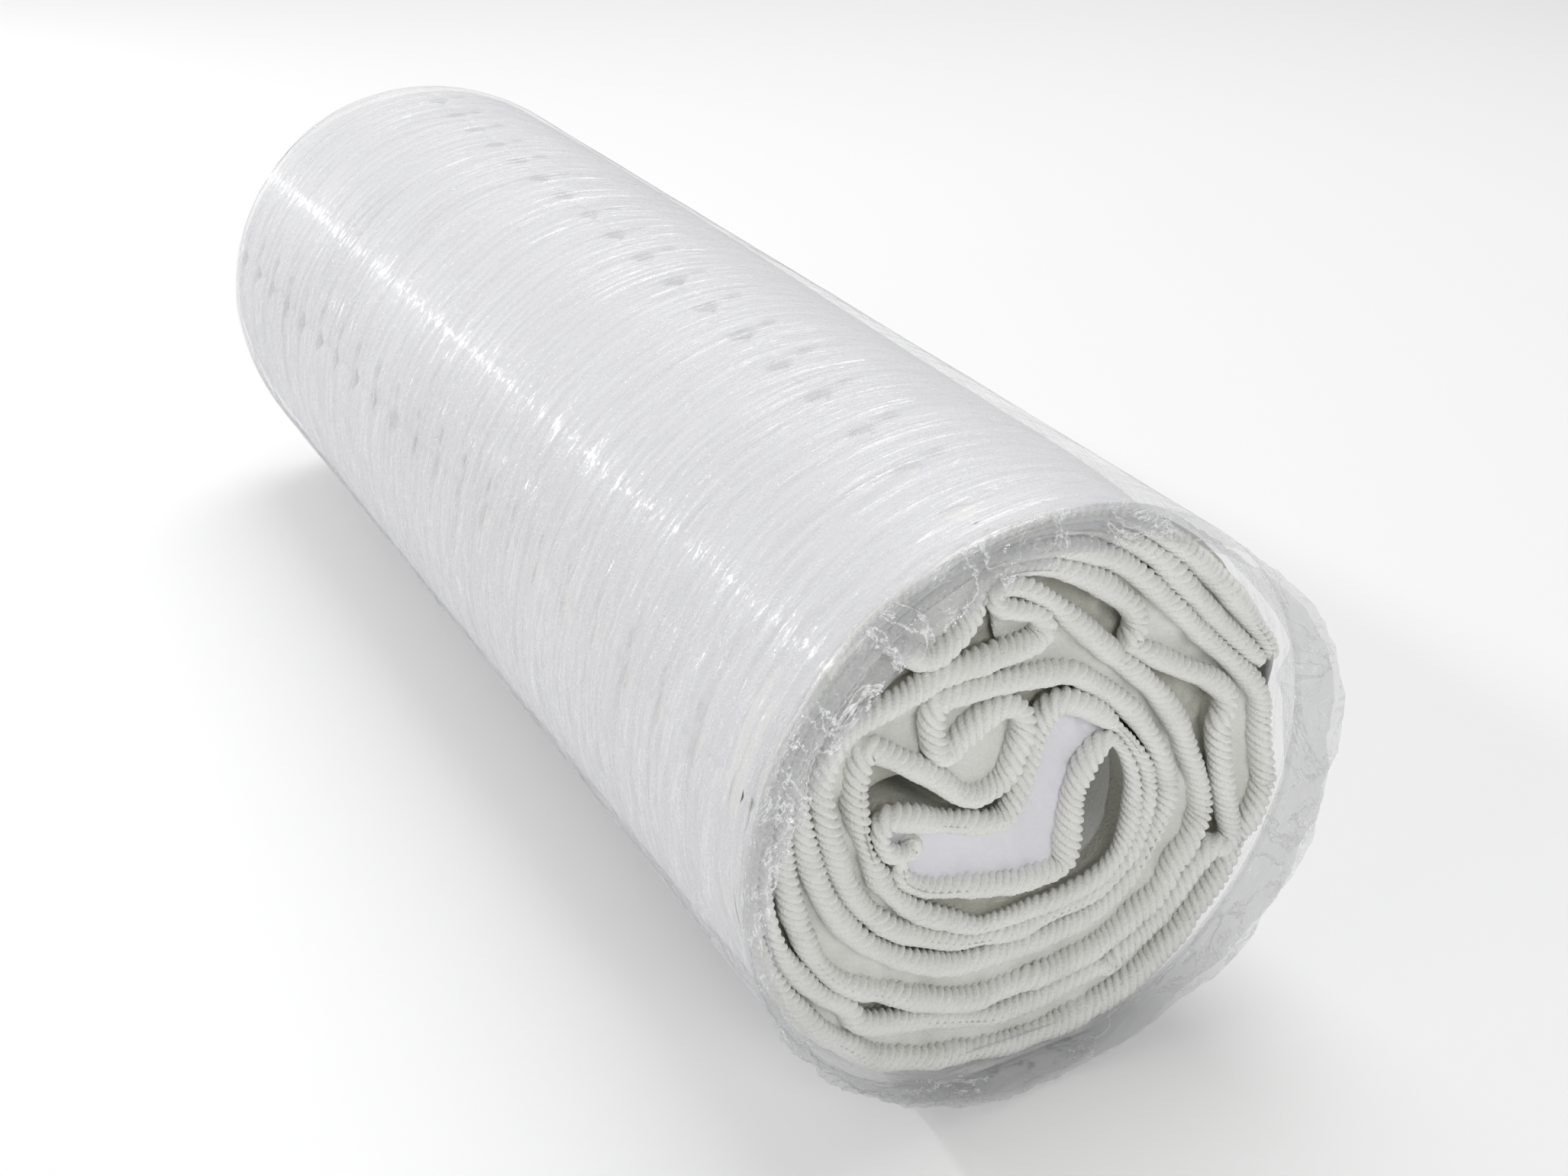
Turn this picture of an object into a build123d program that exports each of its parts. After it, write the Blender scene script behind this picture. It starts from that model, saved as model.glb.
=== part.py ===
from build123d import *
import math
import os

# Rolled and film-wrapped memory foam mattress, 800 mm wide and about 2 m long when flat.
# The roll lies on its side. X is across it, Y runs along its axis and Z is up.
# The origin is on the floor below the middle. The open end that shows the spiral is at -Y.

# Driving dimensions, in millimetres
ROLL_RADIUS = 140.0
MATTRESS_WIDTH = 800.0
AXIS_HEIGHT = 135.0
FILM_WALL = 1.0
FRONT_COLLAR = 21.0
REAR_FOLD = 4.0
REAR_FOLD_INNER_RADIUS = 100.0

# The edge rolls stand out from the border, which is tucked in between them
ROLL_DEPTH = 7.0
BORDER_THICKNESS = 2.0
EDGE_ROLL_WIDTH = 0.037 * ROLL_RADIUS
EDGE_ROLL_RADIUS = 0.022 * ROLL_RADIUS
END_ROLL_RUN = 7.0

# Shares of the compressed thickness, from the face rolled inwards to the face rolled outwards
TOP_PANEL = (0.0, 0.06)
TOP_WADDING = (0.06, 0.16)
MEMORY_FOAM = (0.16, 0.42)
SUPPORT_FOAM = (0.42, 0.88)
BOTTOM_WADDING = (0.88, 0.94)
BOTTOM_PANEL = (0.94, 1.0)

TOTAL_LENGTH = FRONT_COLLAR + MATTRESS_WIDTH + REAR_FOLD
Y_FRONT = -TOTAL_LENGTH / 2
Y_MATTRESS_FRONT = Y_FRONT + FRONT_COLLAR
Y_MATTRESS_REAR = Y_MATTRESS_FRONT + MATTRESS_WIDTH
Y_BODY_FRONT = Y_MATTRESS_FRONT + ROLL_DEPTH
Y_BODY_REAR = Y_MATTRESS_REAR - ROLL_DEPTH

# Where the two edge rolls of the sheet pass, in roll radii from the roll's axis.
# The core is folded by hand, so its stations are points: top roll, then bottom roll.
CORE = [
    ((-0.435, -0.105), (-0.405, 0.06)),
    ((-0.38, -0.18), (-0.34, 0.04)),
    ((-0.20, -0.245), (-0.21, 0.00)),
    ((-0.03, -0.275), (-0.11, -0.02)),
    ((0.12, -0.270), (-0.065, 0.015)),
    ((0.155, -0.14), (-0.04, 0.07)),
    ((0.16, 0.00), (-0.015, 0.16)),
    ((0.20, 0.095), (0.04, 0.28)),
    ((0.245, 0.14), (0.14, 0.315)),
    ((0.29, 0.12), (0.25, 0.235)),
    ((0.33, 0.07), (0.335, 0.14)),
    ((0.362, 0.01), (0.40, 0.05)),
    ((0.38, -0.08), (0.435, -0.06)),
    ((0.375, -0.19), (0.43, -0.20)),
    ((0.33, -0.30), (0.375, -0.34)),
    ((0.22, -0.365), (0.235, -0.42)),
    ((0.03, -0.385), (0.03, -0.443)),
    ((-0.14, -0.375), (-0.155, -0.443)),
    ((-0.30, -0.315), (-0.345, -0.400)),
    ((-0.44, -0.21), (-0.505, -0.28)),
    ((-0.535, -0.06), (-0.63, -0.11)),
    ((-0.585, 0.10), (-0.70, 0.09)),
    ((-0.60, 0.25), (-0.73, 0.265)),
    ((-0.555, 0.345), (-0.66, 0.425)),
    ((-0.45, 0.28), (-0.56, 0.50)),
    ((-0.31, 0.17), (-0.42, 0.545)),
    ((-0.18, 0.105), (-0.28, 0.60)),
    ((-0.08, 0.16), (-0.16, 0.66)),
    ((-0.05, 0.28), (-0.05, 0.68)),
    ((0.00, 0.40), (0.05, 0.64)),
]
# The outer turns: angle in degrees from +X, and the radii of the top and bottom rolls.
# Between two of these the radii change evenly with the angle.
TURNS = [
    (74, 0.440, 0.580),
    (58, 0.424, 0.540),
    (40, 0.420, 0.520),
    (20, 0.445, 0.540),
    (0, 0.500, 0.600),
    (-18, 0.548, 0.690),
    (-45, 0.575, 0.710),
    (-70, 0.545, 0.685),
    (-95, 0.530, 0.675),
    (-120, 0.575, 0.705),
    (-145, 0.655, 0.765),
    (-170, 0.750, 0.830),
    (-195, 0.824, 0.868),
    (-215, 0.833, 0.876),
    (-235, 0.805, 0.870),
    (-254, 0.780, 0.865),
    (-270, 0.800, 0.865),
    (-288, 0.745, 0.835),
    (-304, 0.640, 0.770),
    (-318, 0.585, 0.740),
    (-334, 0.655, 0.775),
    (-350, 0.725, 0.865),
    (-372, 0.750, 0.935),
    (-392, 0.810, 0.950),
    (-412, 0.790, 0.955),
    (-432, 0.772, 0.940),
    (-450, 0.765, 0.925),
    (-470, 0.770, 0.925),
    (-492, 0.815, 0.930),
    (-512, 0.850, 0.940),
    (-535, 0.900, 0.960),
    (-560, 0.923, 0.968),
    (-595, 0.923, 0.968),
    (-630, 0.923, 0.968),
    (-652, 0.895, 0.955),
    (-668, 0.838, 0.925),
    (-682, 0.815, 0.905),
    (-692, 0.835, 0.905),
    (-700, 0.880, 0.940),
]
LARGEST_TURN_STEP = 10.0
EDGE_ROLL_SHARE = EDGE_ROLL_RADIUS / ROLL_RADIUS


def station(top, bottom):
    """Outer faces of the sheet at one place along it, from the middles of its two edge rolls."""
    across_x = bottom[0] - top[0]
    across_z = bottom[1] - top[1]
    gap = math.hypot(across_x, across_z)
    step_x = across_x / gap * EDGE_ROLL_SHARE
    step_z = across_z / gap * EDGE_ROLL_SHARE
    inside = (top[0] - step_x, top[1] - step_z)
    outside = (bottom[0] + step_x, bottom[1] + step_z)
    return inside, outside


def polar(angle, radius):
    """A point in roll radii at an angle in degrees."""
    return radius * math.cos(math.radians(angle)), radius * math.sin(math.radians(angle))


def to_mm(point):
    """A point in roll radii from the axis, as X and Z in millimetres."""
    return point[0] * ROLL_RADIUS, AXIS_HEIGHT + point[1] * ROLL_RADIUS


def turn_stations():
    """The stations of the outer turns, no further apart than the largest step."""
    made = []
    for here, there in zip(TURNS, TURNS[1:]):
        steps = math.ceil(abs(there[0] - here[0]) / LARGEST_TURN_STEP)
        for step in range(steps):
            made.append([a + (b - a) * step / steps for a, b in zip(here, there)])
    made.append(TURNS[-1])
    return made


STATIONS = [station(top, bottom) for top, bottom in CORE]
STATIONS += [station(polar(a, top), polar(a, bottom)) for a, top, bottom in turn_stations()]
FACES = [(to_mm(inside), to_mm(outside)) for inside, outside in STATIONS]


def between(pair, share):
    """A point at a share of the thickness, from the inner face to the outer one."""
    (x0, z0), (x1, z1) = pair
    return x0 + (x1 - x0) * share, z0 + (z1 - z0) * share


def inwards(pair, distance):
    """A point that far in from the inner face, or from the outer one if distance is negative."""
    thickness = math.dist(*pair)
    share = distance / thickness
    return between(pair, share if distance >= 0 else 1 + share)


def mid(pair):
    """Middle of the sheet at a station."""
    return between(pair, 0.5)


def beyond(first, second, run):
    """The station that lies run past the first one, away from the second."""
    step_x, step_z = (a - b for a, b in zip(mid(first), mid(second)))
    scale = run / math.hypot(step_x, step_z)
    return tuple((x + step_x * scale, z + step_z * scale) for x, z in first)


HEAD = beyond(FACES[0], FACES[1], END_ROLL_RUN)
FOOT = beyond(FACES[-1], FACES[-2], END_ROLL_RUN)


def strip(inner_points, outer_points, y_front, y_rear):
    """Solid between two curves that follow the sheet, from y_front to y_rear."""
    inner = [Vector(x, y_front, z) for x, z in inner_points]
    outer = [Vector(x, y_front, z) for x, z in outer_points]
    face = Face(Wire.make_polygon([*inner, *reversed(outer)], close=True))
    return extrude(face, amount=y_rear - y_front, dir=(0, 1, 0))


def layer(shares, stations=FACES, y_front=Y_BODY_FRONT, y_rear=Y_BODY_REAR):
    """One layer of the sheet, at these shares of its thickness."""
    inner = [between(pair, shares[0]) for pair in stations]
    outer = [between(pair, shares[1]) for pair in stations]
    return strip(inner, outer, y_front, y_rear)


def edge_roll(stations, side, y_front, y_rear):
    """The padded roll at the rim of the top panel (side 1) or of the bottom panel (side -1)."""
    face_share = 0.0 if side > 0 else 1.0
    face = [between(pair, face_share) for pair in stations]
    inner = [inwards(pair, side * EDGE_ROLL_WIDTH) for pair in stations]
    return strip(face, inner, y_front, y_rear)


def border(stations, y_front, y_rear):
    """The border between the two edge rolls."""
    near_top = [inwards(pair, EDGE_ROLL_WIDTH) for pair in stations]
    near_bottom = [inwards(pair, -EDGE_ROLL_WIDTH) for pair in stations]
    return strip(near_top, near_bottom, y_front, y_rear)


def film_section(radius, floor, y):
    """Outline of the wrapped roll: round, and flat where it lies on the floor."""
    half_flat = math.sqrt(radius**2 - (AXIS_HEIGHT - floor) ** 2)
    left = Vector(-half_flat, y, floor)
    right = Vector(half_flat, y, floor)
    top = Vector(0, y, AXIS_HEIGHT + radius)
    return Face(Wire([ThreePointArc(left, top, right), Line(right, left)]))


def film_tube(y_front, y_rear):
    """Film round the roll, of one wall thickness."""
    outer = film_section(ROLL_RADIUS, 0, y_front)
    inner = film_section(ROLL_RADIUS - FILM_WALL, FILM_WALL, y_front)
    return extrude(outer - inner, amount=y_rear - y_front, dir=(0, 1, 0))


def rear_fold():
    """Film drawn in over the closed end of the roll, round a hole at its middle."""
    disc = film_section(ROLL_RADIUS, 0, Y_MATTRESS_REAR)
    plate = extrude(disc, amount=REAR_FOLD, dir=(0, 1, 0))
    cutter_depth = 2 * REAR_FOLD
    hole = Cylinder(REAR_FOLD_INNER_RADIUS, cutter_depth)
    return plate - Pos(0, Y_MATTRESS_REAR + REAR_FOLD / 2, AXIS_HEIGHT) * Rot(X=90) * hole


def end_pieces(name, stations):
    """The border and edge rolls across one end of the sheet, over its whole width."""
    rim_ends = (Y_MATTRESS_FRONT, Y_MATTRESS_REAR)
    return {
        name + "_border": border(stations, *rim_ends),
        name + "_top_edge_roll": edge_roll(stations, 1, *rim_ends),
        name + "_bottom_edge_roll": edge_roll(stations, -1, *rim_ends),
    }


def side_pieces(name, y_outer, y_body):
    """The border and edge rolls along one side of the sheet, which is one end of the roll."""
    y_low, y_high = sorted((y_outer, y_body))
    y_behind = y_body - math.copysign(BORDER_THICKNESS, y_body - y_outer)
    border_low, border_high = sorted((y_behind, y_body))
    return {
        name + "_border": border(FACES, border_low, border_high),
        name + "_top_edge_roll": edge_roll(FACES, 1, y_low, y_high),
        name + "_bottom_edge_roll": edge_roll(FACES, -1, y_low, y_high),
    }


NODES = {
    "top_panel": layer(TOP_PANEL),
    "top_wadding": layer(TOP_WADDING),
    "memory_foam": layer(MEMORY_FOAM),
    "support_foam": layer(SUPPORT_FOAM),
    "bottom_wadding": layer(BOTTOM_WADDING),
    "bottom_panel": layer(BOTTOM_PANEL),
    "film_sleeve": film_tube(Y_MATTRESS_FRONT, Y_MATTRESS_REAR),
    "film_front_collar": film_tube(Y_FRONT, Y_MATTRESS_FRONT),
    "film_rear_fold": rear_fold(),
}
NODES.update(side_pieces("front", Y_MATTRESS_FRONT, Y_BODY_FRONT))
NODES.update(side_pieces("rear", Y_MATTRESS_REAR, Y_BODY_REAR))
NODES.update(end_pieces("head", [HEAD, FACES[0]]))
NODES.update(end_pieces("foot", [FACES[-1], FOOT]))

os.makedirs("parts", exist_ok=True)
for node_name, solid in NODES.items():
    export_step(solid, f"parts/{node_name}.step")

middle_line = [mid(pair) for pair in FACES]
flat_length = sum(math.dist(a, b) for a, b in zip(middle_line, middle_line[1:]))
print(f"sheet length along its middle: {flat_length:.0f} mm, in {len(FACES)} stations")
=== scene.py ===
import math

import bpy
import numpy as np
from mathutils import Matrix, Vector, noise
from mathutils.kdtree import KDTree


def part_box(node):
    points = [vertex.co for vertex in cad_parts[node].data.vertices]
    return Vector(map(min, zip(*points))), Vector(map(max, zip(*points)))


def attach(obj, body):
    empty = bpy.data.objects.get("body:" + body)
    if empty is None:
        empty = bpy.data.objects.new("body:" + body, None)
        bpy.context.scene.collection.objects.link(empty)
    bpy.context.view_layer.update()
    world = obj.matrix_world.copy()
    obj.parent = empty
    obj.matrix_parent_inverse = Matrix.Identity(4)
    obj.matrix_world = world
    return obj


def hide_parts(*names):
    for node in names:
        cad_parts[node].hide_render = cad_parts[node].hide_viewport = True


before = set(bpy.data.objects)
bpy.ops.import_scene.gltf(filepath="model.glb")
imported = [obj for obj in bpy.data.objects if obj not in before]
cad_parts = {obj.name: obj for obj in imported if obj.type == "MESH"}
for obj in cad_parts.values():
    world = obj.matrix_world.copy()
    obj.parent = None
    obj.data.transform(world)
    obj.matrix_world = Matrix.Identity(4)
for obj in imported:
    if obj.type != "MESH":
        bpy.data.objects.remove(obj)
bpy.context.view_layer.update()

# ---------------------------------------------------------------- places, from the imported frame
SLEEVE_LOW, SLEEVE_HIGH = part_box("film_sleeve")
COLLAR_LOW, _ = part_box("film_front_collar")
FACE_LOW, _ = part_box("front_top_edge_roll")
_, REAR_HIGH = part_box("rear_top_edge_roll")
R = (SLEEVE_HIGH.x - SLEEVE_LOW.x) / 2
AXIS_Z = SLEEVE_HIGH.z - R
Y_RIM = COLLAR_LOW.y
Y_FRONT = FACE_LOW.y
Y_REAR = REAR_HIGH.y
LENGTH = Y_REAR - Y_FRONT
MM = 0.001

# The rolled sheet's two padded edges, seen from the open end, in roll radii from the axis.
# They start at the folded core and wind clockwise to the tail.
TOP_ROLL = [
    (-0.455, -0.075), (-0.44, -0.13), (-0.36, -0.19), (-0.22, -0.235), (-0.06, -0.275), (0.08, -0.285),
    (0.145, -0.262), (0.158, -0.17), (0.158, -0.02), (0.185, 0.075), (0.225, 0.135), (0.275, 0.155),
    (0.325, 0.105), (0.368, 0.02), (0.388, -0.08), (0.382, -0.2), (0.345, -0.3), (0.26, -0.365),
    (0.1, -0.395), (-0.06, -0.40), (-0.17, -0.395), (-0.28, -0.335), (-0.40, -0.255), (-0.49, -0.155),
    (-0.55, -0.04), (-0.585, 0.08), (-0.605, 0.2), (-0.60, 0.30), (-0.575, 0.365), (-0.52, 0.34),
    (-0.42, 0.265), (-0.33, 0.19), (-0.26, 0.12), (-0.19, 0.09), (-0.11, 0.12), (-0.075, 0.2),
    (-0.05, 0.28), (-0.06, 0.345), (-0.11, 0.385), (-0.18, 0.375), (-0.26, 0.315), (-0.315, 0.275),
    (-0.35, 0.31), (-0.365, 0.39), (-0.362, 0.45), (-0.33, 0.475), (-0.22, 0.478), (-0.1, 0.465),
    (0.02, 0.45), (0.12, 0.425), (0.21, 0.36), (0.3, 0.285), (0.385, 0.19), (0.45, 0.09),
    (0.5, -0.01), (0.525, -0.1), (0.52, -0.2), (0.47, -0.32), (0.4, -0.41), (0.28, -0.49),
    (0.1, -0.53), (-0.08, -0.53), (-0.24, -0.51), (-0.4, -0.44), (-0.54, -0.34), (-0.65, -0.21),
    (-0.725, -0.07), (-0.77, 0.08), (-0.79, 0.22), (-0.78, 0.36), (-0.72, 0.5), (-0.62, 0.62),
    (-0.56, 0.69), (-0.48, 0.665), (-0.4, 0.615), (-0.34, 0.625), (-0.275, 0.67), (-0.235, 0.73),
    (-0.2, 0.80), (-0.14, 0.825), (-0.04, 0.815), (0.07, 0.78), (0.17, 0.725), (0.25, 0.66),
    (0.32, 0.595), (0.35, 0.53), (0.335, 0.475), (0.36, 0.445), (0.45, 0.385), (0.55, 0.32),
    (0.64, 0.265), (0.715, 0.195), (0.725, 0.14), (0.705, 0.08), (0.72, -0.02), (0.75, -0.15),
    (0.785, -0.27), (0.81, -0.36), (0.79, -0.41), (0.73, -0.4), (0.66, -0.46), (0.58, -0.56),
    (0.49, -0.65), (0.41, -0.705), (0.365, -0.755), (0.3, -0.735), (0.18, -0.75), (0.02, -0.775),
    (-0.1, -0.78), (-0.22, -0.74), (-0.36, -0.69), (-0.5, -0.645), (-0.59, -0.6), (-0.635, -0.53),
    (-0.72, -0.45), (-0.8, -0.34), (-0.865, -0.22), (-0.9, -0.08), (-0.91, 0.08), (-0.885, 0.27),
    (-0.80, 0.47), (-0.67, 0.64), (-0.5, 0.78), (-0.28, 0.88), (-0.05, 0.92), (0.18, 0.88),
    (0.38, 0.755), (0.53, 0.60), (0.655, 0.465), (0.77, 0.35), (0.85, 0.27),
]
BOTTOM_ROLL = [
    (-0.41, -0.025), (-0.455, -0.03), (-0.505, 0.0), (-0.528, 0.06), (-0.50, 0.105),
    (-0.42, 0.085), (-0.32, 0.035), (-0.22, 0.0), (-0.14, -0.02), (-0.09, -0.008),
    (-0.055, 0.05), (-0.03, 0.12), (0.0, 0.2), (0.03, 0.29), (0.075, 0.335), (0.14, 0.32),
    (0.22, 0.265), (0.3, 0.19), (0.37, 0.105), (0.425, 0.01), (0.445, -0.08), (0.44, -0.19),
    (0.405, -0.3), (0.34, -0.38), (0.24, -0.43), (0.08, -0.45), (-0.08, -0.455), (-0.22, -0.435),
    (-0.36, -0.37), (-0.48, -0.29), (-0.58, -0.18), (-0.645, -0.06), (-0.69, 0.08), (-0.72, 0.21),
    (-0.72, 0.32), (-0.67, 0.43), (-0.58, 0.475), (-0.48, 0.505), (-0.36, 0.545), (-0.22, 0.56),
    (-0.08, 0.56), (-0.015, 0.575), (0.005, 0.62), (-0.03, 0.665), (-0.1, 0.695), (-0.165, 0.73),
    (-0.165, 0.77), (-0.09, 0.765), (0.0, 0.71), (0.08, 0.635), (0.17, 0.545), (0.26, 0.455),
    (0.36, 0.36), (0.46, 0.25), (0.545, 0.12), (0.605, -0.01), (0.66, -0.14), (0.685, -0.24),
    (0.66, -0.32), (0.6, -0.4), (0.52, -0.51), (0.4, -0.6), (0.29, -0.645), (0.15, -0.67),
    (-0.02, -0.68), (-0.18, -0.67), (-0.34, -0.615), (-0.48, -0.54), (-0.62, -0.46), (-0.71, -0.36),
    (-0.77, -0.24), (-0.815, -0.1), (-0.84, 0.04), (-0.845, 0.18), (-0.83, 0.3), (-0.78, 0.43),
    (-0.70, 0.56), (-0.60, 0.66), (-0.48, 0.745), (-0.35, 0.81), (-0.2, 0.865), (-0.05, 0.87),
    (0.1, 0.84), (0.25, 0.765), (0.36, 0.675), (0.46, 0.575), (0.56, 0.47), (0.66, 0.37),
    (0.76, 0.27), (0.84, 0.175), (0.88, 0.09), (0.895, -0.02), (0.92, -0.15), (0.94, -0.26),
    (0.93, -0.38), (0.87, -0.49), (0.78, -0.59), (0.68, -0.69), (0.54, -0.8), (0.38, -0.875),
    (0.22, -0.91), (0.05, -0.92), (-0.12, -0.905), (-0.28, -0.87), (-0.42, -0.82), (-0.54, -0.765),
    (-0.62, -0.69), (-0.71, -0.6), (-0.81, -0.46), (-0.9, -0.28), (-0.95, -0.1), (-0.955, 0.08),
    (-0.92, 0.27), (-0.84, 0.46), (-0.72, 0.63), (-0.56, 0.775), (-0.37, 0.88), (-0.15, 0.945),
    (0.08, 0.95), (0.3, 0.89), (0.47, 0.765), (0.61, 0.635), (0.73, 0.505), (0.84, 0.37),
    (0.90, 0.28),
]
OUTER_LIMIT = 0.950  # how far out the traced lines may lie, in roll radii
LINE_STEP = 0.0024  # spacing of the points on them, in roll radii
COARSE = 14  # points of a traced line per point of the border strips
WALL_COARSE = 8  # the same for the quilted walls

# The padded edges: radii in roll radii, stretch along the mattress roll, ribs
ROLL_THINNEST = 0.019
ROLL_THICKEST = 0.038
ROLL_STRETCH = 1.2
RIB_PITCH = 0.030 * R
RIB_STARTS = 4  # ribs that wind side by side round an edge roll
RIB_DEPTH = 0.36
RIB_SLIP = [(0.09, 0.0022), (0.03, 0.0010)]
ROLL_PUFF = [(0.12, 0.07), (0.045, 0.09), (0.015, 0.05)]
EDGE_DRIFT = [(0.30, 1.8 * MM), (0.08, 1.5 * MM), (0.03, 0.6 * MM)]

REAR_SHOULDER = 0.060  # length of the rounded shoulder at the closed end, in metres
REAR_DRAW_IN = 0.19  # how far it comes in, in roll radii
MOST_PHASE = 6.28  # random phases are drawn from 0 to here
NOISE_CIRCLE = 5  # radius of the circle on which noise is read round the roll


def smooth_curve(points, step):
    """Evenly spaced points along a smooth curve through the given ones."""
    p = np.array(points, float)
    ends = np.vstack([2 * p[0] - p[1], p, 2 * p[-1] - p[-2]])
    made = []
    for k in range(len(p) - 1):
        a, b, c, d = ends[k:k + 4]
        t = np.linspace(0, 1, 40, endpoint=False)[:, None]
        made.append(0.5 * (2 * b + (c - a) * t + (2 * a - 5 * b + 4 * c - d) * t**2
                           + (3 * b - a - 3 * c + d) * t**3))
    line = np.vstack([*made, p[-1:]])
    along = np.concatenate([[0], np.cumsum(np.linalg.norm(np.diff(line, axis=0), axis=1))])
    at = np.linspace(0, along[-1], int(along[-1] / step) + 1)
    return np.stack([np.interp(at, along, line[:, k]) for k in range(2)], axis=1)


def held_in(line):
    """The line kept inside the film."""
    far = np.linalg.norm(line, axis=1, keepdims=True)
    return line * np.minimum(1, OUTER_LIMIT / np.maximum(far, 1e-9))


def side_way(line):
    """Unit normals of a flat line, which point to the left of it."""
    t = np.gradient(line, axis=0)
    t /= np.linalg.norm(t, axis=1, keepdims=True)
    return np.stack([-t[:, 1], t[:, 0]], axis=1)


def softened(values, width):
    """A running mean over a number of samples."""
    kernel = np.hanning(width + 2)[1:-1]
    kernel /= kernel.sum()
    half = width // 2
    evened = np.convolve(np.pad(values, half, mode="edge"), kernel, mode="same")
    return evened[half:half + len(values)]


def waves(x, seed, scales):
    """Smooth noise of one variable, as a sum of sines with seeded phases."""
    rng = np.random.default_rng(seed)
    total = np.zeros_like(x, dtype=float)
    for scale, size in scales:
        for _ in range(3):
            length = scale * rng.uniform(0.7, 1.4)
            total += size / 3 * np.sin(2 * np.pi * x / length + rng.uniform(0, MOST_PHASE))
    return total


def bumps(u, v, scale, seed):
    """Smooth noise at a place on a flat map, from -1 to 1."""
    return noise.noise(Vector((u * scale, v * scale, seed)))


def drawn_in(y):
    """How far the film pulls the closed end in, in roll radii; y starts at the open end."""
    near = np.clip(1 - (LENGTH - y) / REAR_SHOULDER, 0, 1)
    return REAR_DRAW_IN * (1 - np.sqrt(1 - near**2))


def shouldered(rows):
    """The points with everything near the closed end brought in towards the axis."""
    made = rows.copy()
    scale = 1 - drawn_in(rows[..., 1] - Y_FRONT)
    made[..., 0] *= scale
    made[..., 2] = AXIS_Z + (rows[..., 2] - AXIS_Z) * scale
    return made


def grid_object(name, rows, material, replaced, closed_across=False):
    """A smooth piece from a grid of points, shaped (along, across, 3), in a CAD node's place."""
    n, m = rows.shape[:2]
    i = np.arange(n - 1)[:, None]
    j = np.arange(m if closed_across else m - 1)[None, :]
    beside = (j + 1) % m
    corners = [i * m + j, (i + 1) * m + j, (i + 1) * m + beside, i * m + beside]
    faces = np.stack(corners, axis=-1).reshape(-1, 4)
    mesh = bpy.data.meshes.new(name)
    mesh.from_pydata(rows.reshape(-1, 3).tolist(), [], faces.tolist())
    mesh.polygons.foreach_set("use_smooth", [True] * len(mesh.polygons))
    mesh.update()
    piece = bpy.data.objects.new(name, mesh)
    bpy.context.scene.collection.objects.link(piece)
    mesh.materials.append(material)
    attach(piece, "root")
    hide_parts(replaced)
    return piece


# ---------------------------------------------------------------- materials
def new_material(name):
    """A material, its node tree and its shader."""
    material = bpy.data.materials.new(name)
    material.use_nodes = True
    tree = material.node_tree
    return material, tree, tree.nodes["Principled BSDF"]


def node(tree, kind, **settings):
    """A new shader node, with its sockets or its own settings given by name."""
    made = tree.nodes.new(kind)
    for key, value in settings.items():
        if key in made.inputs:
            made.inputs[key].default_value = value
        else:
            setattr(made, key, value)
    return made


def knit_material(name, light, dark, wale, bump_height, patch=18.0):
    """Soft knitted cloth: fine wales, a fuzzy surface and slight colour variation."""
    material, tree, shader = new_material(name)
    link = tree.links.new
    place = node(tree, "ShaderNodeTexCoord")
    patches = node(tree, "ShaderNodeTexNoise", Scale=patch, Detail=4.0, Roughness=0.6)
    fuzz = node(tree, "ShaderNodeTexNoise", Scale=1.0 / wale, Detail=3.0, Roughness=0.7)
    loops = node(tree, "ShaderNodeTexVoronoi", Scale=1.0 / wale)
    colour = node(tree, "ShaderNodeValToRGB")
    colour.color_ramp.elements[0].color = (*dark, 1)
    colour.color_ramp.elements[0].position = 0.3
    colour.color_ramp.elements[1].color = (*light, 1)
    colour.color_ramp.elements[1].position = 0.65
    for source in (patches, fuzz, loops):
        link(place.outputs["Object"], source.inputs["Vector"])
    blend = node(tree, "ShaderNodeMix")
    blend.inputs[0].default_value = 0.25
    link(patches.outputs["Fac"], blend.inputs[2])
    link(fuzz.outputs["Fac"], blend.inputs[3])
    link(blend.outputs[0], colour.inputs["Fac"])
    link(colour.outputs["Color"], shader.inputs["Base Color"])
    height = node(tree, "ShaderNodeMath", operation="ADD")
    link(loops.outputs["Distance"], height.inputs[0])
    link(fuzz.outputs["Fac"], height.inputs[1])
    bump = node(tree, "ShaderNodeBump", Strength=0.5, Distance=bump_height)
    link(height.outputs[0], bump.inputs["Height"])
    link(bump.outputs["Normal"], shader.inputs["Normal"])
    shader.inputs["Roughness"].default_value = 0.92
    shader.inputs["Specular IOR Level"].default_value = 0.2
    shader.inputs["Sheen Weight"].default_value = 0.35
    shader.inputs["Sheen Roughness"].default_value = 0.5
    return material


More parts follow.
